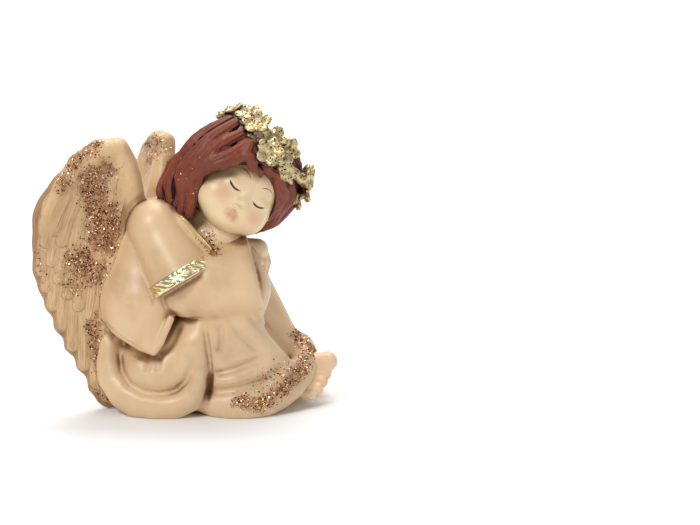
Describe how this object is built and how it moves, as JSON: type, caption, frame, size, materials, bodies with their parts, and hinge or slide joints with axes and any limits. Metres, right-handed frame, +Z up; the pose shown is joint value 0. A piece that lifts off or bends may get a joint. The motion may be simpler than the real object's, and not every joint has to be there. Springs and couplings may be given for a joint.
{
  "type": "seated angel figurine",
  "caption": "Small one-piece cast figurine of a winged child seated with knees drawn up, asleep with the head resting on folded arms, wearing a robe and a flower garland.",
  "frame": {"origin": "centre of the bounding box in plan, on the flat underside", "axes": "+Z up; the figure's broad front, with the face turned to it, looks along -Y; the knees and bare feet point to +X and the near wing to -X"},
  "size_m": [0.1262, 0.0918, 0.13],
  "materials": {
    "painted_resin": "satin cream paint with a brown antiquing wash over cast resin"
  },
  "bodies": {
    "root": {"angel_figurine": "painted_resin"}
  },
  "joints": []
}
